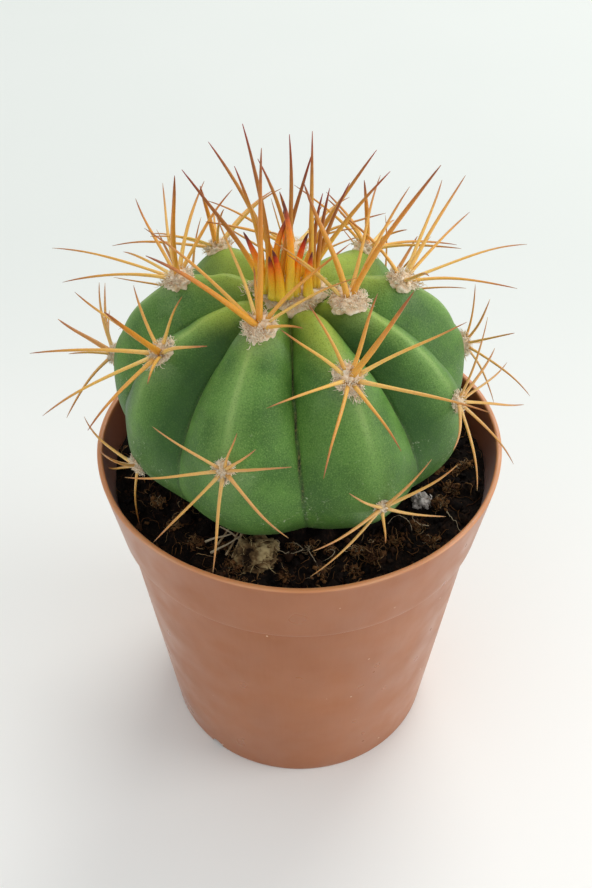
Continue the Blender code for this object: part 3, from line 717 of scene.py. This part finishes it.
def make_stem():
    """The body, with values that colour it, such as crest, 1 on a crest, and climb, 1 on top."""
    columns = np.linspace(-math.pi, math.pi, STEM_COLUMNS, endpoint=False)
    tilts = np.radians(np.linspace(*STEM_TILTS, STEM_ROWS))
    azimuth, tilt = np.meshgrid(columns, tilts)
    points = stem_point(azimuth, tilt)
    around = np.roll(points, -1, axis=1) - np.roll(points, 1, axis=1)
    normal = np.cross(around, np.gradient(points, axis=0))
    normal /= np.maximum(np.linalg.norm(normal, axis=-1), 1e-12)[..., None]
    middle = np.array((*STEM_AXIS, STEM_CENTRE_Z - 4 * MM))
    normal *= np.sign(np.sum(normal * (points - middle), axis=-1))[..., None]

    phase, _, full, rib = rib_phase(azimuth - rib_lean(tilt))
    climb = np.sin(tilt)
    crest = 1 - np.abs(phase)
    from_axis = np.hypot(points[..., 0] - STEM_AXIS[0], points[..., 1] - STEM_AXIS[1])
    # Broad swells lift the skin. It sinks along the clefts, rises under each areole and dips above it.
    swell = np.array([noise.fractal(Vector(p) / (7 * MM), 0.8, 2.0, 2) for p in points.reshape(-1, 3)])
    lift = 0.16 * MM * swell.reshape(tilt.shape)
    high = np.clip((climb + 0.05) / 0.5, 0, 1)
    lift -= 0.35 * MM * np.clip(from_axis / (8 * MM), 0, 1) * high * np.exp(-((crest / 0.022) ** 2))
    bloom = np.zeros(tilt.shape)
    for number, degrees, _ in AREOLES.values():
        here, out, ahead = (np.array(v) for v in areole_frame(number, degrees))
        away = points - here
        forward = away @ ahead
        flat = np.linalg.norm(away - (away @ out)[..., None] * out, axis=-1)
        same = rib == number - 1
        lift += same * 0.35 * MM * np.exp(-((flat / (3.6 * MM)) ** 2))
        dent = ((forward - 4.4 * MM) / (1.3 * MM)) ** 2 + (flat / (5 * MM)) ** 4
        lift -= same * 0.30 * MM * np.exp(-dent)
        dusty = same * np.exp(-((flat / (4.2 * MM)) ** 2)) * np.where(forward < 0, 1.0, 0.45)
        bloom = np.maximum(bloom, dusty)
    bloom = np.maximum(bloom, 0.55 * np.clip(crest - 0.4, 0, 1) * np.clip(0.55 - climb, 0, 1))

    # Young growth by the crown, and painted light along the crests high up, on the third rib's top and on
    # the tops of the ribs at the back.
    near_crown = np.clip(1.25 - from_axis / (11 * MM), 0, 1)
    ridge = np.clip(crest * 1.4 - 0.4, 0, 1) * np.clip((climb - 0.62) / 0.3, 0, 1)
    fresh = np.clip(near_crown + 0.75 * ridge, 0, 1)
    third = (rib == 2) * np.clip((climb - 0.72) / 0.2, 0, 1) * np.clip(0.9 - np.abs(phase + 0.1), 0, 1)
    # Painted light on the tops of the ribs at the back, which the light from behind falls on.
    back = np.isin(rib + 1, BACK_RIBS) * np.clip((climb - 0.3) / 0.5, 0, 1) * 0.55
    fresh = np.clip(0.8 * fresh + 0.55 * third + back, 0, 1)
    # The cleft between the second and the third rib is corky, and the others a little.
    front_groove = np.where(phase > 0, rib == 1, rib == 2)
    cork = front_groove * np.exp(-((crest / 0.013) ** 2)) * np.clip((climb + 0.05) / 0.35, 0, 1)
    cork *= np.clip((0.96 - climb) / 0.1, 0, 1)
    cork = np.maximum(cork, 0.30 * high * np.exp(-((crest / 0.020) ** 2)))
    # Painted shade: the front ribs' flatter flanks are darkened.
    flank = np.clip((0.92 - crest) / 0.55, 0, 1) * np.clip(1.9 - full, 0, 1) * (rib < FRONT_RIBS)
    flank *= np.clip((climb + 0.35) / 0.5, 0, 1) * np.clip(crest / 0.05 + 0.4, 0, 1)

    soup = Soup()
    soup.add_rings(points + normal * lift[..., None], crest=crest, fresh=fresh, bloom=bloom, cork=cork,
                   climb=climb, flank=flank)
    soup.build("stem_body", stem_material(), "stem")


# Spines and wool

def spine_material(name, stops):
    """Waxy spines that run through colours from foot to tip, each between a pale and a rich set of them."""
    paint = Paint(name, 0.36, {"Subsurface Weight": 0.35, "Subsurface Scale": 0.8 * MM,
                               "Subsurface Radius": (1.0, 0.6, 0.2), "Specular IOR Level": 0.4})
    ripple = paint.times(paint.math("SUBTRACT", paint.noise(0.7, 3), 0.5), 0.18)
    place = paint.plus(paint.value("along"), ripple)
    pale, rich = (paint.ramp(place, *stops[key]) for key in ("pale", "rich"))
    colour = paint.mix(paint.value("tone"), pale, rich)
    colour = paint.tint(colour, paint.value("dry"), 0.55, (196, 146, 104))
    grain = paint.noise(0.16, 3, 0.7)
    colour = paint.tint(colour, paint.between(grain, 0.45, 0.7), 0.22, (140, 88, 34))
    paint.set("Base Color", colour)
    paint.bump((grain, 0.015), (paint.noise(0.5, 2), 0.03))
    return paint.material


def spine(soup, foot, tip, lift, thickness, tone, dry, rng):
    """A tapered spine from foot to tip that bows towards lift, as the solid does, with small bends too."""
    foot, tip, lift = Vector(foot), Vector(tip), Vector(lift)
    length = (tip - foot).length
    control = (foot + tip) / 2 + lift * (BOW * 2 * length)
    path = bezier(foot, control, tip, SPINE_STEPS)
    s = np.linspace(0, 1, SPINE_STEPS)
    for waves, share in ((math.pi, 0.012), (math.tau, 0.008)):
        path += np.sin(s * waves)[:, None] * unit(rng) * (share * length)
    radii = thickness / 2 * np.maximum((1 - s) ** 0.48, 0.10)
    ripple = 0.05 * np.sin(s * length / (1.1 * MM) + rng.uniform(0, 6))
    radii *= 1 + 0.22 * np.exp(-((s / 0.07) ** 2)) + ripple
    points, faces, along = tube(path, radii, SPINE_SIDES, squeeze=0.85)
    soup.add(points, faces, along=along, tone=tone, dry=dry)


def wool_material():
    """Cream felt, browner deep down."""
    paint = Paint("areole_wool", 0.95, {"Specular IOR Level": 0.2, "Sheen Weight": 0.35,
                                        "Sheen Roughness": 0.5, "Sheen Tint": (1.0, 0.92, 0.80, 1)})
    colour = paint.ramp(paint.noise(0.8, 3), (0.3, (255, 232, 196)), (0.7, (255, 247, 228)))
    colour = paint.tint(colour, paint.value("depth"), 0.6, (238, 178, 112))
    paint.set("Base Color", colour)
    paint.bump((paint.noise(0.12, 3, 0.8), 0.05), (paint.noise(0.5, 3), 0.12))
    return paint.material


def hair(soup, foot, direction, length, rng, depth):
    """A bent hair, browner towards its foot by depth."""
    tip = foot + direction * length
    control = (foot + tip) / 2 + unit(rng) * (HAIR_BEND * length)
    path = bezier(foot, control, tip, len(HAIR_TAPER))
    points, faces, share = tube(path, HAIR_THICKNESS / 2 * np.array(HAIR_TAPER), 3)
    soup.add(points, faces, depth=depth * (1 - share))


def cushion(soup, middle, out, ahead, half_width, half_length, height, rng):
    """A felted dome on the stem, rough with small tufts, that narrows to a tail away from the crown."""
    points, faces = icosphere(4)
    side = np.cross(ahead, out)
    shift = rng.uniform(0, 50, 3)
    rough = np.array([noise.fractal(Vector(p * 3.4 + shift), 0.6, 2.2, 4) for p in points])
    swell = 1 + 0.26 * rough
    z = np.maximum(points[:, 2], -0.35) * height
    local = points * swell[:, None]
    below = np.clip(-local[:, 1], 0, 1)
    local[:, 0] *= 1 - 0.45 * below
    placed = (middle + local[:, :1] * side * half_width + local[:, 1:2] * ahead * half_length
              + (z * swell * (1 - 0.3 * below))[:, None] * out)
    soup.add(placed, faces, depth=np.clip(0.5 - 0.8 * rough, 0, 1))


def wool_tuft(soup, middle, out, ahead, half_width, half_length, height, hairs, rng):
    """The cushion and its loose hairs, which stand up in the middle and lie down at the edge."""
    cushion(soup, middle, out, ahead, 0.9 * half_width, 0.9 * half_length, height, rng)
    side = np.cross(ahead, out)
    reach_scale = min(1.0, half_length / (2 * MM))
    for _ in range(hairs):
        reach = math.sqrt(rng.uniform(0, 1))
        turn = rng.uniform(0, math.tau)
        below = max(0.0, -math.sin(turn)) * reach
        flat = (side * (math.cos(turn) * half_width * (1 - 0.45 * below))
                + ahead * (math.sin(turn) * half_length * (1 + 0.35 * below**3)))
        dome = height * math.sqrt(max(0.0, 1 - (0.9 * reach) ** 2))
        foot = middle + flat * (0.9 * reach) + out * (dome * 0.9 - 0.1 * MM)
        outward = flat / np.linalg.norm(flat)
        direction = outward * (0.2 + 0.7 * reach) + out * (0.9 - 0.7 * reach) + 0.8 * unit(rng)
        direction /= np.linalg.norm(direction)
        length = rng.uniform(0.4, 1.0) * reach_scale * MM
        hair(soup, foot, direction, length, rng, rng.uniform(0, 0.5))


STRAW_STOPS = {
    "rich": ((0.0, (240, 178, 66)), (0.14, (232, 164, 44)), (0.6, (210, 132, 34)), (0.85, (156, 88, 36)),
             (1.0, (110, 56, 38))),
    "pale": ((0.0, (250, 226, 156)), (0.2, (244, 208, 118)), (0.6, (230, 184, 92)), (0.88, (184, 124, 66)),
             (1.0, (132, 78, 52))),
}
TALL_STOPS = {
    "rich": ((0.0, (252, 212, 74)), (0.2, (234, 170, 40)), (0.42, (180, 110, 30)), (0.80, (140, 74, 32)),
             (1.0, (124, 36, 40))),
    "pale": ((0.0, (252, 226, 110)), (0.35, (242, 198, 76)), (0.7, (214, 158, 58)), (0.9, (166, 98, 48)),
             (1.0, (128, 46, 42))),
}
YOUNG_STOPS = {
    "rich": ((0.0, (255, 222, 74)), (0.3, (255, 196, 44)), (0.62, (255, 136, 22)), (0.80, (206, 60, 26)),
             (0.92, (84, 30, 34))),
    "pale": ((0.0, (255, 236, 110)), (0.4, (255, 212, 60)), (0.70, (255, 168, 36)), (0.86, (190, 96, 40)),
             (0.97, (90, 38, 36))),
}


def make_areoles(wool):
    straw = spine_material("straw_spines", STRAW_STOPS)
    for index, (name, (rib, degrees, spines)) in enumerate(AREOLES.items()):
        rng = np.random.default_rng(SEEDS["areoles"] + index)
        here, out, ahead = areole_frame(rib, degrees)
        right = ahead.cross(out)
        soup = Soup()
        level = name.rsplit("_", 1)[1]
        pad_radius, pad_height = PADS[level]
        for clock, lean, length in spines:
            clock, lean_angle = math.radians(clock), math.radians(lean)
            flat = ahead * math.cos(clock) + right * math.sin(clock)
            direction = out * math.cos(lean_angle) + flat * math.sin(lean_angle)
            central = lean < CENTRAL_LEAN
            spread = pad_radius * (CENTRAL_FOOT if central else RADIAL_FOOT)
            foot = here + out * (GAP + SPINE_DEPTH * pad_height) + flat * spread
            thickness = CENTRAL_THICKNESS if central else RADIAL_THICKNESS * rng.uniform(0.85, 1.12)
            thickness *= LOWER_THINNING if level == "lower" else 1
            tone = rng.uniform(*SPINE_TONES["central" if central else level])
            dry = rng.uniform(*SPINE_DRYNESS[level])
            spine(soup, foot, here + direction * (length * MM), out, thickness, tone, dry, rng)
        soup.build(f"{name}_spines", straw, name)
        soup = Soup()
        size = np.array(WOOL_SPECIAL.get(name, WOOL_SIZE[level])) * MM
        middle = np.array(here) + np.array(out) * (0.25 * GAP)
        wool_tuft(soup, middle, np.array(out), np.array(ahead), *size, WOOL_HAIRS, rng)
        soup.build(f"{name}_wool", wool, name)


def make_crown(wool):
    rng = np.random.default_rng(SEEDS["crown"])
    axis = Vector((*STEM_AXIS, STEM_CENTRE_Z + GROOVE_RISE + CROWN_PAD_RISE))
    groups = (
        (CROWN_SPINES, CENTRAL_THICKNESS, "tall", spine_material("tall_spines", TALL_STOPS)),
        (CROWN_YOUNG, YOUNG_THICKNESS, "young", spine_material("young_spines", YOUNG_STOPS)),
    )
    for spines, thickness, group, material in groups:
        soup = Soup()
        for foot_azimuth, away, azimuth, lean, length in spines:
            azimuth, lean = math.radians(azimuth), math.radians(lean)
            at = math.radians(foot_azimuth)
            foot = axis + Vector((away * MM * math.cos(at), away * MM * math.sin(at),
                                  SPINE_DEPTH * CROWN_PAD_HEIGHT))
            level = Vector((math.cos(azimuth), math.sin(azimuth), 0))
            direction = UP * math.cos(lean) + level * math.sin(lean)
            tip = foot + direction * (length * MM)
            spine(soup, foot, tip, -level, thickness, rng.uniform(0.2, 1.0), 0, rng)
        soup.build(f"crown_{group}_spines", material, "crown_tuft")
    soup = Soup()
    middle = np.array(axis) - np.array((0, 0, 0.9 * MM))
    wool_tuft(soup, middle, np.array(UP), np.array((1.0, 0, 0)), *CROWN_WOOL, CROWN_HAIRS, rng)
    soup.build("crown_wool", wool, "crown_tuft")


# Soil

def roof(x, y, gap=0.1 * MM):
    """How high anything may reach at (x, y) and keep this gap to the stem."""
    dx, dy = x - STEM_AXIS[0], y - STEM_AXIS[1]
    return stem_underside(math.atan2(dy, dx), math.hypot(dx, dy)) - gap


def soil_height(x, y):
    """The soil's rough top: lumps, hollows and grit, kept under the stem."""
    at = Vector((x, y, 0))
    lumps = 0.95 * noise.noise(at / (4.5 * MM)) + 0.75 * noise.noise(at / (1.9 * MM) + Vector((7, 3, 1)))
    grit = 0.45 * noise.turbulence(at / (0.9 * MM), 4, True)
    z = SOIL_LEVEL + (lumps + grit - 0.45) * MM
    for seat_x, seat_y, radius, _ in (PEAT_LUMP, PERLITE_GRAIN):
        away = math.hypot(x - seat_x, y - seat_y) / radius
        if away < 1.4:
            z = SOIL_LEVEL + (z - SOIL_LEVEL) * max(0.0, (away - 0.8) / 0.6)
    return min(z, roof(x, y, 0.15 * MM))


def soil_material():
    """Nearly black damp peat with paler grit."""
    paint = Paint("dark_soil", 0.95, {"Specular IOR Level": 0.15})
    peat = paint.noise(1.1, 6, 0.75)
    colour = paint.ramp(peat, (0.38, (12, 9, 8)), (0.55, (30, 21, 16)), (0.72, (70, 47, 31)))
    glint = paint.between(paint.noise(0.22, 4, 0.8), 0.62, 0.72)
    colour = paint.tint(colour, glint, 0.45, (104, 74, 48))
    paint.set("Base Color", colour)
    paint.bump((paint.noise(0.25, 4, 0.8), 0.16), (paint.noise(0.9, 4), 0.35))
    return paint.material


def bits_material(name, stops, roughness=0.9):
    """Crumbs or fibres, each with its own tone."""
    paint = Paint(name, roughness, {"Specular IOR Level": 0.15})
    tone = paint.plus(paint.value("tone"), paint.times(paint.noise(0.35, 3, 0.7), 0.24))
    paint.set("Base Color", paint.ramp(tone, *stops))
    paint.bump((paint.noise(0.15, 3, 0.8), 0.05), (paint.noise(0.5, 3), 0.1))
    return paint.material


def make_soil():
    collar_z = POT_HEIGHT - POT_COLLAR_HEIGHT
    turn = np.linspace(-math.pi, math.pi, SOIL_SEGMENTS, endpoint=False)
    rings = []
    for z in (POT_FLOOR + 0.1 * MM, collar_z - POT_WALL, collar_z + POT_WALL):
        r = inner_wall(z) - 0.25 * MM
        rings.append([(r * math.cos(a), r * math.sin(a), z) for a in turn])
    edge = inner_wall(SOIL_LEVEL) - 0.3 * MM
    for r in np.linspace(edge, 0.35 * edge, SOIL_RINGS):
        ring = [(r * math.cos(a), r * math.sin(a)) for a in turn]
        rings.append([(x, y, soil_height(x, y)) for x, y in ring])
    soup = Soup()
    soup.add_rings(rings)
    soup.build("soil_bed", soil_material(), "soil")


def open_spot(rng, margin):
    """A random (x, y) on the soil between the pot's wall and a circle under the stem."""
    r = math.sqrt(rng.uniform(0.40, 1.0)) * (inner_wall(SOIL_LEVEL) - margin)
    a = rng.uniform(-math.pi, math.pi)
    return r * math.cos(a), r * math.sin(a)


CRUMB_BALL = icosphere(2)


def crumb(soup, place, size, tone, rng):
    """A ragged crumb: a ball torn by noise and squashed at random."""
    ball, faces = CRUMB_BALL
    shift = rng.uniform(0, 99, 3)
    rough = np.array([1 + 0.75 * noise.fractal(Vector(p * 1.5 + shift), 0.7, 2.3, 3) for p in ball])
    stretch = rng.uniform(0.4, 1.25, 3)
    spin, _ = np.linalg.qr(rng.normal(size=(3, 3)))
    points = (ball * rough[:, None] * stretch * size) @ spin + place
    soup.add(points, faces, tone=tone)


def curl(x, y, heading, length, steps, bend, wander, lift, rng):
    """A path that curls over the soil from (x, y), kept inside the pot and out of the stem.

    At each step it turns by bend and, at random, by about wander, and its middle is lifted off the soil.
    """
    path = []
    limit = inner_wall(SOIL_LEVEL) - 0.35 * MM
    for step in range(steps):
        r = math.hypot(x, y)
        if r > limit:
            x, y = x * limit / r, y * limit / r
        hump = lift * math.sin(math.pi * (step + 0.5) / steps)
        path.append((x, y, min(soil_height(x, y) + hump + 0.06 * MM, roof(x, y))))
        heading += bend + rng.normal(0, wander)
        x += math.cos(heading) * length / steps
        y += math.sin(heading) * length / steps
    return path


def make_crumbs():
    rng = np.random.default_rng(SEEDS["crumbs"])
    soup = Soup()
    for _ in range(CRUMB_COUNT):
        size = float(np.clip(rng.lognormal(-1.15, 0.45), 0.12, 0.95)) * MM
        x, y = open_spot(rng, 1.2 * size + 0.3 * MM)
        z = min(soil_height(x, y) + rng.uniform(-0.4, 0.5) * size, roof(x, y) - size)
        crumb(soup, (x, y, z), size, rng.beta(1.0, 5.5), rng)
    soup.build("soil_crumbs", bits_material("peat_crumbs", CRUMB_STOPS), "soil")


def strand(soup, path, thick, tone, sides=4):
    """A fibre along path that thins out."""
    radii = thick / 2 * np.linspace(1.0, 0.45, len(path))
    points, faces, _ = tube(path, radii, sides)
    soup.add(points, faces, tone=float(np.clip(tone, 0, 1)))


def clump(soup, x, y, size, tone, rng):
    """A fluffy clod of peat: crumbs tangled in short curly fibres."""
    middle = np.array((x, y, min(soil_height(x, y) + 0.35 * size, roof(x, y) - 0.9 * size)))
    spread = size * np.array((rng.uniform(0.8, 1.6), rng.uniform(0.8, 1.6), 0.7))
    for _ in range(CLUMP_CRUMBS):
        at = middle + unit(rng) * rng.uniform(0.1, 1.0) ** 0.5 * spread
        crumb(soup, at, rng.uniform(0.10, 0.30) * size, 0.8 * tone * rng.uniform(0.3, 1.1), rng)
    for _ in range(CLUMP_FIBRES):
        at = middle + unit(rng) * rng.uniform(0.1, 1.0) * spread
        heading = unit(rng) * (1, 1, 0.6)
        step = rng.uniform(0.12, 0.30) * size
        path = []
        for _ in range(7):
            path.append((at[0], at[1], float(np.clip(at[2], middle[2] - size, roof(*at[:2])))))
            heading = heading + 0.55 * unit(rng) + 0.25 * (middle - at) / size
            heading /= np.linalg.norm(heading)
            at = at + heading * step
        strand(soup, path, rng.uniform(0.05, 0.14) * MM, tone + rng.normal(0, 0.16), 3)


def make_clumps():
    rng = np.random.default_rng(SEEDS["clumps"])
    soup = Soup()
    for x, y, size in SOIL_CLUMPS:
        clump(soup, x * MM, y * MM, size * MM, rng.uniform(0.42, 0.66), rng)
    for _ in range(LOOSE_CLUMPS):
        x, y = open_spot(rng, 2.2 * MM)
        clump(soup, x, y, rng.uniform(0.5, 1.0) * MM, rng.uniform(0.25, 0.6), rng)
    soup.build("soil_clumps", bits_material("peat_clumps", FIBRE_STOPS), "soil")


def make_fibres():
    """Rootlets over the whole surface, dry blades by the stem and a few pale root hairs."""
    rng = np.random.default_rng(SEEDS["fibres"])
    soup = Soup()
    for _ in range(ROOTLET_COUNT):
        x, y = open_spot(rng, 0.6 * MM)
        path = curl(x, y, rng.uniform(0, math.tau), rng.uniform(1.0, 4.5) * MM, 8, rng.normal(0, 0.4), 0.3,
                    rng.uniform(0.05, 0.6) * MM, rng)
        strand(soup, path, rng.uniform(0.06, 0.18) * MM, rng.normal(0.30, 0.20))
    for start_x, start_y, heading, length in DRY_BLADES:
        path = []
        for t in np.linspace(0, 1, 8):
            x = (start_x + math.cos(math.radians(heading)) * length * t) * MM
            y = (start_y + math.sin(math.radians(heading)) * length * t) * MM
            z = SOIL_LEVEL + (0.5 + 1.0 * t + 0.15 * math.sin(5 * t + start_x)) * MM
            path.append((x, y, min(z, roof(x, y))))
        strand(soup, path, 0.36 * MM, rng.uniform(0.72, 0.95), 6)
    for x, y, heading, length, bend in ROOT_HAIRS:
        path = curl(x * MM, y * MM, math.radians(heading), length * MM, 22, bend, 0.16, 1.3 * MM, rng)
        strand(soup, path, 0.12 * MM, 1.0, 5)
    soup.build("soil_fibres", bits_material("root_fibres", FIBRE_STOPS, 0.85), "soil")


def make_loose_bit(name, node, place, lumpiness, grain_mm, buried_mm, slot, stops, fibres=0):
    """A lump with a flat underside, sunk a little into its seat in the soil, and fibres bedded in it."""
    x, y, radius, height = place
    ball, faces = icosphere(5)
    shift = Vector((x, y, 0)) / MM
    swell = []
    for p in map(Vector, ball):
        broad = lumpiness * noise.noise(p * 1.7 + shift)
        grain = 0.20 * noise.fractal(p * (radius / (grain_mm * MM)) + shift, 0.5, 2.1, 5)
        swell.append(1 + broad + grain)
    swell = np.array(swell)
    flat = np.maximum(ball[:, 2] * swell, -0.5)
    across = ball[:, :2] * swell[:, None] * radius
    points = np.column_stack((across, (flat + 0.5) * height / 1.5)) + (x, y, SOIL_LEVEL - buried_mm * MM)
    soup = Soup()
    soup.add(points, faces, tone=np.clip(0.45 + 1.5 * (swell - 1), 0, 1))
    rng = np.random.default_rng(fibres)
    for _ in range(fibres):
        foot = points[rng.integers(len(points))]
        tip = foot + unit(rng) * rng.uniform(0.6, 1.8) * MM * (1, 1, 0.5)
        path = bezier(foot, (foot + tip) / 2 + unit(rng) * 0.4 * MM, tip, 6)
        path[:, 2] = np.clip(path[:, 2], SOIL_LEVEL, SOIL_LEVEL + height)
        fibre, fibre_faces, _ = tube(path, 0.05 * MM * np.linspace(1.2, 0.5, 6), 4)
        soup.add(fibre, fibre_faces, tone=rng.uniform(0.2, 1.0))
    soup.build(name, bits_material(slot, stops), node)


# Scene

def make_camera():
    """The picture's own view."""
    data = bpy.data.cameras.new("camera")
    data.lens = CAMERA_LENS
    data.sensor_width = CAMERA_SENSOR
    camera = bpy.data.objects.new("camera", data)
    camera.location = CAMERA_PLACE
    camera.rotation_euler = (math.radians(90 - CAMERA_TILT), 0, math.radians(CAMERA_TURN))
    bpy.context.scene.collection.objects.link(camera)
    bpy.context.scene.camera = camera


def area_light(name, place, target, size, power, colour=(1, 1, 1)):
    """A round lamp that faces target."""
    data = bpy.data.lights.new(name, "AREA")
    data.shape = "DISK"
    data.size = size
    data.energy = power
    data.color = colour
    light = bpy.data.objects.new(name, data)
    light.location = place
    light.rotation_euler = (Vector(target) - Vector(place)).to_track_quat("-Z", "Y").to_euler()
    bpy.context.scene.collection.objects.link(light)


def make_stage():
    paint = Paint("pale_floor", 0.85, {"Specular IOR Level": 0.2})
    # Painted light falloff: the floor turns darker and greyer further back.
    far = paint.between(paint.coordinate("Y"), -0.04, 0.14)
    colour = paint.mix(far, (248, 248, 244), (222, 226, 221))
    paint.set("Base Color", paint.tint(colour, paint.noise(60, 2), 0.2, (238, 238, 234)))
    mesh = bpy.data.meshes.new("floor")
    mesh.from_pydata([(-3, -3, 0), (3, -3, 0), (3, 3, 0), (-3, 3, 0)], [], [(0, 1, 2, 3)])
    mesh.materials.append(paint.material)
    floor = bpy.data.objects.new("floor", mesh)
    bpy.context.scene.collection.objects.link(floor)
    world = bpy.data.worlds.new("soft_daylight")
    world.use_nodes = True
    background = world.node_tree.nodes["Background"]
    background.inputs["Color"].default_value = (0.94, 0.97, 1.0, 1)
    background.inputs["Strength"].default_value = 0.66
    bpy.context.scene.world = world
    bpy.context.scene.view_settings.view_transform = "Standard"
    area_light("key", (0.25, 0.55, 0.75), (0, 0, 0.04), 0.6, 3.6, (1.0, 0.99, 0.96))
    area_light("right", (0.75, -0.10, 0.40), (0, 0, 0.03), 0.5, 2.4)
    area_light("front_left", (-0.45, -0.35, 0.75), (0, 0, 0.04), 0.6, 0.5)


make_camera()
make_stage()
make_pot()
make_soil()
make_crumbs()
make_fibres()
make_clumps()
make_loose_bit("peat_clod", "peat_lump", PEAT_LUMP, PEAT_LUMPINESS, 0.8, 0.3, "pale_peat", PEAT_STOPS, 150)
make_loose_bit("perlite_piece", "perlite_grain", PERLITE_GRAIN, PERLITE_LUMPINESS, 0.6, 0.8, "perlite",
               PERLITE_STOPS)
make_stem()
WOOL = wool_material()
make_areoles(WOOL)
make_crown(WOOL)
